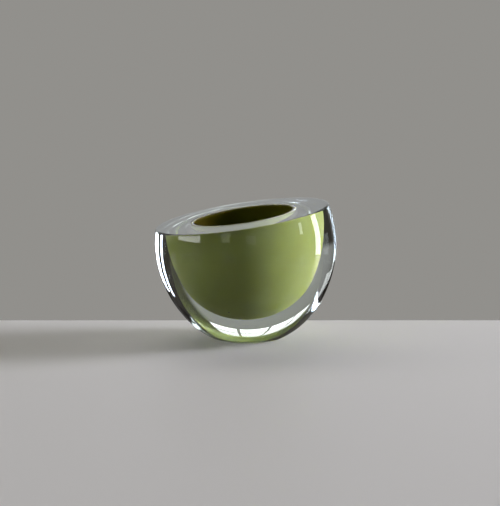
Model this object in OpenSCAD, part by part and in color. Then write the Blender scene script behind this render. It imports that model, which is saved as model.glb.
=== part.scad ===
// Art glass bowl: a heavy egg-shaped body of clear glass cast around a thin coloured cup.
// The body leans a little, stands on a ground flat, and its mouth is cut off at a slant.
// All three layers are turned about one leaning axis and are fused face to face.
// Origin: centre of the ground flat. +Z up. +X points to the high side of the slanted rim.

/* [Body] */
// Largest diameter of the clear body
body_d = 120; // [108:1:132]
// Radius of the long arc that makes the body's side
body_side_r = 76; // [70:1:90]
// Radius of the short arc that rounds the body's bottom
body_bottom_r = 55.5; // [50:0.5:57]
// Height of the widest ring on the turning axis
body_belly_z = 63.5; // [61:0.5:66]
// Lean of the turning axis towards the low side, in degrees
lean = 4.3; // [0:0.1:6]

/* [Rim] */
// Height of the slanted cut above the middle of the ground flat
rim_z = 82.5; // [76:0.5:88]
// Slope of the slanted cut, in degrees
rim_slope = 9.2; // [0:0.1:14]

/* [Cup] */
// Largest diameter of the hollow
hollow_d = 66.5; // [60:0.5:72]
// Radius of the long arc that makes the hollow's side
hollow_side_r = 70; // [60:1:90]
// Radius of the short arc that rounds the hollow's bottom
hollow_bottom_r = 29; // [24:1:31]
// Height of the hollow's widest ring on the turning axis
hollow_belly_z = 75; // [70:1:80]
// Thickness of the amber lining
lining_t = 0.8; // [0.6:0.1:1.6]
// Thickness of the green colour layer
colour_t = 1.0; // [0.8:0.1:2]

/* [Hidden] */
$fn = 180;
body_shift_x = 1.7;
far = 200;

glass_clear = [0.86, 0.93, 0.92, 0.4];
glass_green = [0.60, 0.68, 0.34];
glass_amber = [0.30, 0.25, 0.07];

// Everything on the lower side of a line through the origin that falls to the right by angle.
module below_line(angle) {
    rotate(-angle)
        translate([-far, -far])
            square([2 * far, far]);
}

// Half of an egg outline, right of the axis: a side arc that is widest at belly_z
// and a bottom arc that meets it without a corner. grow moves both arcs outwards.
// The side arc's disc is cut away below the meeting line, outside the bottom arc's disc.
module egg_outline(widest_r, side_r, bottom_r, belly_z, grow = 0) {
    side_x = widest_r - side_r;
    drop = sqrt(pow(side_r - bottom_r, 2) - pow(side_x, 2));
    meet = atan2(drop, -side_x);

    intersection() {
        translate([0, -far])
            square([far, 2 * far]);
        difference() {
            translate([side_x, belly_z])
                circle(r = side_r + grow);
            translate([0, belly_z - drop])
                difference() {
                    below_line(meet);
                    circle(r = bottom_r + grow);
                }
        }
    }
}

// Puts what is turned about Z on the leaning axis of the bowl.
module on_leaning_axis() {
    translate([body_shift_x, 0, 0])
        rotate([0, -lean, 0])
            children();
}

module turned_body() {
    on_leaning_axis()
        rotate_extrude()
            egg_outline(body_d / 2, body_side_r, body_bottom_r, body_belly_z);
}

// The hollow, with grow mm of glass added all round it.
module turned_cup(grow) {
    on_leaning_axis()
        rotate_extrude()
            egg_outline(hollow_d / 2, hollow_side_r, hollow_bottom_r, hollow_belly_z, grow);
}

// Everything above the slanted rim.
module above_rim() {
    translate([0, 0, rim_z])
        rotate([0, -rim_slope, 0])
            translate([-far / 2, -far / 2, 0])
                cube(far);
}

// Everything below the surface that the bowl stands on.
module below_base() {
    translate([-far / 2, -far / 2, -far])
        cube(far);
}

module clear_casing() {
    color(glass_clear)
        difference() {
            turned_body();
            turned_cup(lining_t + colour_t);
            above_rim();
            below_base();
        }
}

module green_layer() {
    color(glass_green)
        difference() {
            turned_cup(lining_t + colour_t);
            turned_cup(lining_t);
            above_rim();
        }
}

module amber_lining() {
    color(glass_amber)
        difference() {
            turned_cup(lining_t);
            turned_cup(0);
            above_rim();
        }
}

clear_casing();
green_layer();
amber_lining();
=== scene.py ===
import math
import random

import bmesh
import bpy
from mathutils import Matrix, Vector, noise


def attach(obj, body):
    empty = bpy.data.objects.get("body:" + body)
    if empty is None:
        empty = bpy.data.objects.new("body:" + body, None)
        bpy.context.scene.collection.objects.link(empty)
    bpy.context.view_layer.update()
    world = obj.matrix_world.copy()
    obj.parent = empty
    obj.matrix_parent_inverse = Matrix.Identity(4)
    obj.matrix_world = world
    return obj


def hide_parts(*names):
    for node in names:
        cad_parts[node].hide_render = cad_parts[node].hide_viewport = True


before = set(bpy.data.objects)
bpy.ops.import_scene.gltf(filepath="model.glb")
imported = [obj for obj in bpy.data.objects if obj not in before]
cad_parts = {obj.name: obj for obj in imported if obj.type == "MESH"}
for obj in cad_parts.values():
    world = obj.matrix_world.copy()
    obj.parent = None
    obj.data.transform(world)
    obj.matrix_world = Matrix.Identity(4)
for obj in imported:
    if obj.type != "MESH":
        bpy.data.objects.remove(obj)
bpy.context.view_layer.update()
scene = bpy.context.scene
scene.view_settings.view_transform = "Standard"

mm = 0.001

# One slanted rim and one leaning axis for all three layers of glass.
bowl = {
    "lean": math.radians(4.3),  # the axis leans to the low side
    "shift": 1.7 * mm,
    "rimHeight": 82.5 * mm,  # above the middle of the ground flat
    "rimSlope": math.radians(9.2),
    "steps": 240,  # round the axis
    "rimSearch": (math.radians(60), math.radians(125)),  # a wall meets the rim between these
    "floorSearch": (0, math.radians(60)),
    "halvings": 40,
    "bevelSteps": 3,
    "weld": 1e-7,  # points nearer than this are one point
}
rimPoint = Vector((0, 0, bowl["rimHeight"]))
rimNormal = Vector((-math.sin(bowl["rimSlope"]), 0, math.cos(bowl["rimSlope"])))
axisTurn = Matrix.Translation((bowl["shift"], 0, 0)) @ Matrix.Rotation(-bowl["lean"], 4, "Y")


# An egg outline is a bottom arc that runs into a long side arc. A point on it is named by
# the angle of its outward normal: 0 looks straight down and 90 degrees looks sideways.
def eggPoint(egg, grow, around, normalAngle):
    sideX = egg["widest"] - egg["sideArc"]
    drop = math.sqrt((egg["sideArc"] - egg["bottomArc"]) ** 2 - sideX**2)
    onSide = normalAngle > math.atan2(-sideX, drop)
    radius = (egg["sideArc"] if onSide else egg["bottomArc"]) + grow
    out = (sideX if onSide else 0) + radius * math.sin(normalAngle)
    up = egg["belly"] - (0 if onSide else drop) - radius * math.cos(normalAngle)
    return axisTurn @ Vector((out * math.cos(around), out * math.sin(around), up))


def angleWhere(low, high, isPast):
    for _ in range(bowl["halvings"]):
        middle = (low + high) / 2
        low, high = (low, middle) if isPast(middle) else (middle, high)
    return high


def angleAtRim(egg, grow, around, proud):  # proud is how far past the rim the wall goes
    def isPast(angle):
        return (eggPoint(egg, grow, around, angle) - rimPoint).dot(rimNormal) > proud

    return angleWhere(*bowl["rimSearch"], isPast)


def angleAtFloor(egg, grow, around):
    def isPast(angle):
        return eggPoint(egg, grow, around, angle).z > 0

    return angleWhere(*bowl["floorSearch"], isPast)


# Wraps a tube of quads onto an egg, from its pole or from the ground flat up to the rim.
# Returns the edge loops at its two ends.
def wrapEgg(bm, egg, grow, rings, proud=0.0, onFloor=False, inward=False):
    tube = bmesh.ops.create_cone(
        bm, cap_ends=False, segments=bowl["steps"], radius1=1, radius2=1, depth=1
    )
    edges = {e for v in tube["verts"] for e in v.link_edges}
    nearly = 1e-6
    staves = [e for e in edges if abs(e.calc_length() - 1) < nearly]
    bmesh.ops.subdivide_edges(bm, edges=staves, cuts=rings - 1, use_grid_fill=True)
    fresh = [v for v in bm.verts if v.co.xy.length > 0.5]  # a tube is far wider than the bowl
    atEnd = 0.4999
    ends = [{v for v in fresh if side * v.co.z > atEnd} for side in (-1, 1)]
    limits = {}
    for v in fresh:
        around = math.atan2(v.co.y, v.co.x)
        key = round(around, 4)
        if key not in limits:
            start = angleAtFloor(egg, grow, around) if onFloor else 0
            limits[key] = (start, angleAtRim(egg, grow, around, proud))
        start, stop = limits[key]
        angle = start + (v.co.z + 0.5) * (stop - start)
        v.co = eggPoint(egg, grow, around, angle)
    if inward:
        faces = {face for v in fresh for face in v.link_faces}
        bmesh.ops.reverse_faces(bm, faces=list(faces))
    return [[e for e in bm.edges if e.verts[0] in end and e.verts[1] in end] for end in ends]


def bevel(bm, edges, width):
    bmesh.ops.bevel(
        bm,
        geom=edges,
        offset=width,
        offset_type="OFFSET",
        segments=bowl["bevelSteps"],
        profile=0.5,
        affect="EDGES",
        material=-1,
    )


def makePiece(name, bm, material, node, seeds=()):
    bmesh.ops.remove_doubles(bm, verts=bm.verts, dist=bowl["weld"])
    bmesh.ops.recalc_face_normals(bm, faces=bm.faces)
    if bm.calc_volume(signed=True) < 0:
        bmesh.ops.reverse_faces(bm, faces=bm.faces)
    for where, radius in seeds:  # tiny bubbles, so their faces look inwards
        ball = bmesh.ops.create_icosphere(
            bm, subdivisions=2, radius=radius, matrix=Matrix.Translation(where)
        )
        hollow = {face for v in ball["verts"] for face in v.link_faces}
        bmesh.ops.reverse_faces(bm, faces=list(hollow))
    mesh = bpy.data.meshes.new(name)
    for face in bm.faces:
        face.smooth = True
    bm.to_mesh(mesh)
    bm.free()
    mesh.materials.append(material)
    piece = bpy.data.objects.new(name, mesh)
    scene.collection.objects.link(piece)
    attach(piece, "root")
    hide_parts(node)
    print(name, "has", len(mesh.polygons), "faces")


def newMaterial(name):
    material = bpy.data.materials.new(name)
    material.use_nodes = True
    nodes, links = material.node_tree.nodes, material.node_tree.links
    return material, nodes, links, nodes["Principled BSDF"]


def objectNoise(nodes, links, scale, detail):
    where = nodes.new("ShaderNodeTexCoord")
    pattern = nodes.new("ShaderNodeTexNoise")
    pattern.inputs["Scale"].default_value = scale
    pattern.inputs["Detail"].default_value = detail
    links.new(where.outputs["Object"], pattern.inputs["Vector"])
    return pattern


def softMask(nodes, links, direction, axis, low, high):
    along = nodes.new("ShaderNodeVectorMath")
    along.operation = "DOT_PRODUCT"
    along.inputs[1].default_value = axis
    links.new(direction, along.inputs[0])
    soft = nodes.new("ShaderNodeMapRange")
    soft.interpolation_type = "SMOOTHSTEP"
    soft.inputs["From Min"].default_value = low
    soft.inputs["From Max"].default_value = high
    links.new(along.outputs["Value"], soft.inputs["Value"])
    return soft.outputs["Result"]


def mixColour(nodes, links, factor, first, second):
    mix = nodes.new("ShaderNodeMix")
    mix.data_type = "RGBA"
    links.new(factor, mix.inputs["Factor"])
    for socket, colour in ((mix.inputs["A"], first), (mix.inputs["B"], second)):
        if isinstance(colour, tuple):
            socket.default_value = (*colour, 1)
        else:
            links.new(colour, socket)
    return mix.outputs["Result"]


# The clear casing, a thick egg with its top cut off at a slant.
casing = {
    "widest": 60 * mm,
    "sideArc": 76 * mm,
    "bottomArc": 55.5 * mm,
    "belly": 63.5 * mm,
    "rings": 110,
    "rimCuts": 11,  # rings across the flat rim
    "rimBevel": 0.8 * mm,
    "flatBevel": 0.5 * mm,
    "wave": 0.16 * mm,  # how deep the hand-worked surface dips
    "waveLength": 34 * mm,
    "waveFade": 9 * mm,  # the ground rim and flat are true
    "trueEdge": 0.15,  # share of the fade that stays true
}
seed = {
    "count": 9,
    "draw": 8,  # which random draw
    "radius": (0.3 * mm, 0.6 * mm),
    "depth": (2, 12),  # mm under the surface
    "normal": (40, 80),  # degrees, as in eggPoint
}
# The hollow, with a lining and a colour layer round it.
cup = {
    "widest": 33.25 * mm,
    "sideArc": 70 * mm,
    "bottomArc": 29 * mm,
    "belly": 75 * mm,
    "rings": 60,
    "lining": 0.8 * mm,
    "colour": 1.0 * mm,
    "proud": 0.02 * mm,  # the cut edges of the coloured layers lie just over the casing's
    "lipBevel": 0.35 * mm,
}
clear = {
    "refraction": 1.52,
    "tint": (0.3, 0.8, 0.76),
    "tintDensity": 1.3,  # per metre
    "rippleScale": 45,
    "rippleDetail": 2,
    "rippleStrength": 0.25,
    "rippleDepth": 0.12 * mm,
}


# Polished glass that takes colour from the light on its way through.
def seeThrough(nodes, links, glass, look):
    glass.inputs["Roughness"].default_value = 0.0
    glass.inputs["IOR"].default_value = look["refraction"]
    glass.inputs["Transmission Weight"].default_value = 1.0
    tint = nodes.new("ShaderNodeVolumeAbsorption")
    tint.inputs["Color"].default_value = (*look["tint"], 1)
    tint.inputs["Density"].default_value = look["tintDensity"]
    links.new(tint.outputs["Volume"], nodes["Material Output"].inputs["Volume"])


def clearGlass():
    material, nodes, links, glass = newMaterial("clearGlass")
    ripple = objectNoise(nodes, links, clear["rippleScale"], clear["rippleDetail"])
    bump = nodes.new("ShaderNodeBump")
    bump.inputs["Strength"].default_value = clear["rippleStrength"]
    bump.inputs["Distance"].default_value = clear["rippleDepth"]
    links.new(ripple.outputs["Fac"], bump.inputs["Height"])
    links.new(bump.outputs["Normal"], glass.inputs["Normal"])
    glass.inputs["Base Color"].default_value = (1, 1, 1, 1)
    seeThrough(nodes, links, glass, clear)
    return material


def waveSurface(bm):
    for v in bm.verts:
        belowRim = (rimPoint - v.co).dot(rimNormal)
        fade = min(belowRim, v.co.z) / casing["waveFade"] - casing["trueEdge"]
        dip = 0.5 + 0.5 * noise.noise(v.co / casing["waveLength"])
        inward = Vector((-v.co.x, -v.co.y, casing["belly"] - v.co.z)).normalized()
        v.co += inward * casing["wave"] * dip * min(1, max(0, fade))


def seedSpots():
    picker = random.Random(seed["draw"])
    spots = []
    for _ in range(seed["count"]):
        around = picker.uniform(0, math.tau)
        normalAngle = math.radians(picker.uniform(*seed["normal"]))
        depth = picker.uniform(*seed["depth"]) * mm
        radius = picker.uniform(*seed["radius"])
        spots.append((eggPoint(casing, -depth, around, normalAngle), radius))
    return spots


def clearCasing():
    bm = bmesh.new()
    footLoop, rimLoop = wrapEgg(bm, casing, 0, casing["rings"], onFloor=True)
    waveSurface(bm)
    # The casing's inner wall runs inside the colour layer, so no air shows between them.
    innerGrow = cup["lining"] + cup["colour"] / 2
    _, mouthLoop = wrapEgg(bm, cup, innerGrow, cup["rings"], inward=True)
    bridged = bmesh.ops.bridge_loops(bm, edges=rimLoop + mouthLoop)
    spokes = bridged["edges"]
    bmesh.ops.subdivide_edges(bm, edges=spokes, cuts=casing["rimCuts"], use_grid_fill=True)
    bmesh.ops.contextual_create(bm, geom=footLoop)
    bevel(bm, rimLoop, casing["rimBevel"])
    bevel(bm, footLoop, casing["flatBevel"])
    glass = clearGlass()
    makePiece("clear_casing_glass", bm, glass, "clear_casing", seedSpots())


clearCasing()


# The green colour layer, cloudy glass that lets light spread inside it.
green = {
    "dark": (0.42, 0.46, 0.12),
    "pale": (0.49, 0.56, 0.20),
    "cloudScale": 60,
    "cloudDetail": 5,
    "ground": (0.72, 0.75, 0.50),  # the cut edge at the lip, painted pale as a highlight where it catches the light
    "groundFrom": 0.9 * mm,  # below the rim
    "groundTo": 0.1 * mm,
    "roughness": 0.9,
    "spread": (1.0, 1.0, 0.5),
    "spreadLength": 1.5 * mm,
}


def greenGlass():
    material, nodes, links, glass = newMaterial("greenGlass")
    clouds = objectNoise(nodes, links, green["cloudScale"], green["cloudDetail"])
    body = mixColour(nodes, links, clouds.outputs["Fac"], green["dark"], green["pale"])
    rim = rimPoint.dot(rimNormal)
    place = nodes.new("ShaderNodeTexCoord").outputs["Object"]
    # Painted highlight: the cut edge at the lip is painted pale where it catches the light.
    low, high = rim - green["groundFrom"], rim - green["groundTo"]
    atLitLip = softMask(nodes, links, place, rimNormal, low, high)
    links.new(mixColour(nodes, links, atLitLip, body, green["ground"]), glass.inputs["Base Color"])
    glass.inputs["Roughness"].default_value = green["roughness"]
    glass.inputs["Subsurface Weight"].default_value = 1.0
    glass.inputs["Subsurface Radius"].default_value = green["spread"]
    glass.inputs["Subsurface Scale"].default_value = green["spreadLength"]
    glass.inputs["Specular IOR Level"].default_value = 0.0  # clear glass lies all over it
    return material


def cupLayer(name, outer, inner, proud, material, node):
    bm = bmesh.new()
    _, outerLoop = wrapEgg(bm, cup, outer, cup["rings"], proud=proud)
    _, innerLoop = wrapEgg(bm, cup, inner, cup["rings"], proud=proud, inward=True)
    bmesh.ops.bridge_loops(bm, edges=outerLoop + innerLoop)
    if inner == 0:
        bevel(bm, innerLoop, cup["lipBevel"])
    makePiece(name, bm, material, node)


cupLayer(
    "green_layer_glass", cup["lining"] + cup["colour"], cup["lining"], 2 * cup["proud"],
    greenGlass(), "green_layer",
)


# The lining, dark amber glass that can be seen through only where it is thin. Its dark tint is
# painted shade that darkens the hollow.
lining = {
    "refraction": 1.52,
    "tint": (0.78, 0.67, 0.46),
    "tintDensity": 1500,
    "dark": (0.86, 0.80, 0.66),
    "pale": (1.0, 1.0, 1.0),
    "streakScale": 90,
    "streakDetail": 4,
    "overlap": 0.3,  # share of the green layer that the lining's outer wall runs into
}


def shadeLiningGlass():
    material, nodes, links, amber = newMaterial("shadeLiningGlass")
    streaks = objectNoise(nodes, links, lining["streakScale"], lining["streakDetail"])
    stained = mixColour(nodes, links, streaks.outputs["Fac"], lining["dark"], lining["pale"])
    links.new(stained, amber.inputs["Base Color"])
    # Painted shade: the lining's dark tint darkens the hollow seen through it.
    seeThrough(nodes, links, amber, lining)
    return material


# The lining's outer wall runs a little inside the green layer, as the casing's inner wall does.
cupLayer(
    "shade_lining_glass", cup["lining"] + lining["overlap"] * cup["colour"], 0, cup["proud"],
    shadeLiningGlass(), "amber_lining",
)

# The camera.
view = {
    "azimuth": math.radians(-21.8),
    "elevation": math.radians(7.5),
    "distance": 1.1,
    "lookedRound": 45 * mm,
    "aimedAt": 56.3 * mm,
    "lens": 117.65,
    "clipStart": 0.01,
}


def bearing(angle, elevation=0.0):  # a direction, angle to the right of the line of sight
    turned = view["azimuth"] - angle
    level = Vector((-math.sin(turned), math.cos(turned), 0)) * math.cos(elevation)
    return level + Vector((0, 0, math.sin(elevation)))


def makeCamera():
    data = bpy.data.cameras.new("camera")
    data.lens = view["lens"]
    data.clip_start = view["clipStart"]
    camera = bpy.data.objects.new("camera", data)
    camera.location = (
        Vector((0, 0, view["lookedRound"])) + bearing(math.pi, view["elevation"]) * view["distance"]
    )
    sight = Vector((0, 0, view["aimedAt"])) - camera.location
    camera.rotation_euler = sight.to_track_quat("-Z", "Y").to_euler()
    scene.collection.objects.link(camera)
    scene.camera = camera


makeCamera()

# The floor, a slab that ends a little behind the bowl.
floor = {
    "width": 0.8,
    "depth": 0.8,
    "thick": 30 * mm,
    "behind": 70 * mm,
    "edgeBevel": 2 * mm,
    "pale": (0.76, 0.73, 0.66),
    "paleRoughness": 0.5,
    "table": (0.10, 0.08, 0.07),
    "tableRoughness": 0.22,
}


def makeFloor():
    bm = bmesh.new()
    bmesh.ops.create_cube(bm, size=1)
    bmesh.ops.scale(bm, vec=(floor["width"], floor["depth"], floor["thick"]), verts=bm.verts)
    shift = Vector((0, floor["behind"] - floor["depth"] / 2, -floor["thick"] / 2))
    bmesh.ops.translate(bm, vec=shift, verts=bm.verts)
    bmesh.ops.rotate(bm, verts=bm.verts, matrix=Matrix.Rotation(view["azimuth"], 3, "Z"))
    bevel(bm, bm.edges[:], floor["edgeBevel"])
    mesh = bpy.data.meshes.new("floor")
    bm.to_mesh(mesh)
    bm.free()
    material, nodes, links, pale = newMaterial("paleFloor")
    pale.inputs["Base Color"].default_value = (*floor["pale"], 1)
    pale.inputs["Roughness"].default_value = floor["paleRoughness"]
    # The glass sees a dark polished table where the viewer sees a pale floor.
    table = nodes.new("ShaderNodeBsdfPrincipled")
    table.inputs["Base Color"].default_value = (*floor["table"], 1)
    table.inputs["Roughness"].default_value = floor["tableRoughness"]
    rays = nodes.new("ShaderNodeLightPath")
    either = nodes.new("ShaderNodeMixShader")
    links.new(rays.outputs["Is Camera Ray"], either.inputs[0])
    links.new(table.outputs["BSDF"], either.inputs[1])
    links.new(pale.outputs["BSDF"], either.inputs[2])
    links.new(either.outputs["Shader"], nodes["Material Output"].inputs["Surface"])
    mesh.materials.append(material)
    slab = bpy.data.objects.new("floor", mesh)
    scene.collection.objects.link(slab)


makeFloor()
print("camera and floor are in place")


# The room, as the glass sees it.
room = {
    "shade": (0.036, 0.032, 0.026),  # the unlit side of the room, behind the viewer
    "wall": (0.30, 0.297, 0.283),
    "wallMiddle": math.radians(-20),  # bearings to the right of the line of sight
    "wallHalf": math.radians(57),
    "wallSoft": 0.05,  # how gradually the wall ends, as a cosine
    "horizon": (-0.10, -0.03),  # the wall fades out between these, just under the level
    "seen": (0.285, 0.278, 0.262),  # the plain backdrop
}


def makeWorld():
    world = bpy.data.worlds.new("room")
    world.use_nodes = True
    scene.world = world
    nodes, links = world.node_tree.nodes, world.node_tree.links
    direction = nodes.new("ShaderNodeTexCoord").outputs["Generated"]
    edge, soft = math.cos(room["wallHalf"]), room["wallSoft"]
    middle = bearing(room["wallMiddle"])
    atWall = softMask(nodes, links, direction, middle, edge - soft, edge + soft)
    overFloor = softMask(nodes, links, direction, (0, 0, 1), *room["horizon"])
    both = nodes.new("ShaderNodeMath")
    both.operation = "MULTIPLY"
    links.new(atWall, both.inputs[0])
    links.new(overFloor, both.inputs[1])
    lit = mixColour(nodes, links, both.outputs[0], room["shade"], room["wall"])
    rays = nodes.new("ShaderNodeLightPath")
    seen = mixColour(nodes, links, rays.outputs["Is Camera Ray"], lit, room["seen"])
    links.new(seen, nodes["Background"].inputs["Color"])


makeWorld()
print("room is in place")


# A pane of light, a plain rectangle that faces the bowl's axis along the level.
def addPane(name, middle, width, height, radiance):
    data = bpy.data.lights.new(name, "AREA")
    data.shape = "RECTANGLE"
    data.size, data.size_y = width, height
    data.energy = radiance * width * height * math.pi
    lamp = bpy.data.objects.new(name, data)
    lamp.location = middle
    lamp.rotation_euler = Vector((middle.x, middle.y, 0)).to_track_quat("Z", "Y").to_euler()
    lamp.visible_camera = False
    scene.collection.objects.link(lamp)
    return lamp


# Upright panes round the bowl. Bearings are in degrees to the right of the line of sight, and
# heights and distance are in metres. Mirror reflections show the panes that are not hidden.
away = 2.5
daylight = {"low": -0.3, "high": 1.3, "colour": (0.97, 1.0, 1.22), "hidden": True}
panes = {
    "openSash": {"from": 72, "to": 82, "low": -0.35, "high": 1.1, "radiance": 10},
    "curtain": {"from": 56, "to": 60, "radiance": 5, **daylight},
    "sunPane": {"from": 67, "to": 89, "radiance": 24, **daylight},
    "farWindow": {"from": 102, "to": 107, "low": 0.35, "high": 0.75, "radiance": 5},
    "leftWindow": {"from": -82, "to": -72, "low": 0.1, "high": 1.5, "radiance": 1.6},
    "topPanel": {
        "from": -30, "to": 30, "low": 0.14, "high": 0.72, "radiance": 0.36,
        "away": 2.0, "colour": (0.93, 1.0, 1.03),
    },
    "leftWall": {"from": -80, "to": -58, "low": 0.6, "high": 2.0, "radiance": 0.7},
    "roomLeft": {"from": -161, "to": -150, "low": 0.12, "high": 0.55, "radiance": 0.9},
    "roomRight": {"from": 167, "to": 179, "low": 0.10, "high": 0.45, "radiance": 0.7},
    "openDoor": {"from": -122, "to": -88, "low": 0.02, "high": 0.32, "radiance": 5},
}


def makePanes():
    for name, pane in panes.items():
        start, stop = math.radians(pane["from"]), math.radians(pane["to"])
        reach = pane.get("away", away)
        middle = bearing((start + stop) / 2) * reach
        middle.z = (pane["low"] + pane["high"]) / 2
        width = 2 * reach * math.tan((stop - start) / 2)
        lamp = addPane(name, middle, width, pane["high"] - pane["low"], pane["radiance"])
        lamp.data.color = pane.get("colour", (1, 1, 1))
        lamp.visible_glossy = not pane.get("hidden", False)
    print(len(panes), "panes of light round the bowl")


makePanes()

# A wide window high behind the bowl, in four lights with a transom.
backWindow = {
    "away": 2.0,
    "left": -2.37,
    "pane": 0.86,
    "panes": 4,
    "sill": 1.68,
    "transom": 2.26,
    "top": 4.3,
    "bar": 0.09,
    "radiance": 1.7,
}


def makeBackWindow():
    right = bearing(math.radians(90))
    sill, transom, top = backWindow["sill"], backWindow["transom"], backWindow["top"]
    width = backWindow["pane"] - backWindow["bar"]
    for column in range(backWindow["panes"]):
        across = backWindow["left"] + backWindow["pane"] * (column + 0.5)
        for row, (low, high) in enumerate(((sill, transom), (transom, top))):
            name = f"backWindow_{column}_{row}"
            height = high - low - backWindow["bar"]
            middle = bearing(0) * backWindow["away"] + right * across
            middle.z = (low + high) / 2
            lamp = addPane(name, middle, width, height, backWindow["radiance"])
            lamp.rotation_euler = bearing(0).to_track_quat("Z", "Y").to_euler()
    print("back window of", 2 * backWindow["panes"], "panes")


makeBackWindow()
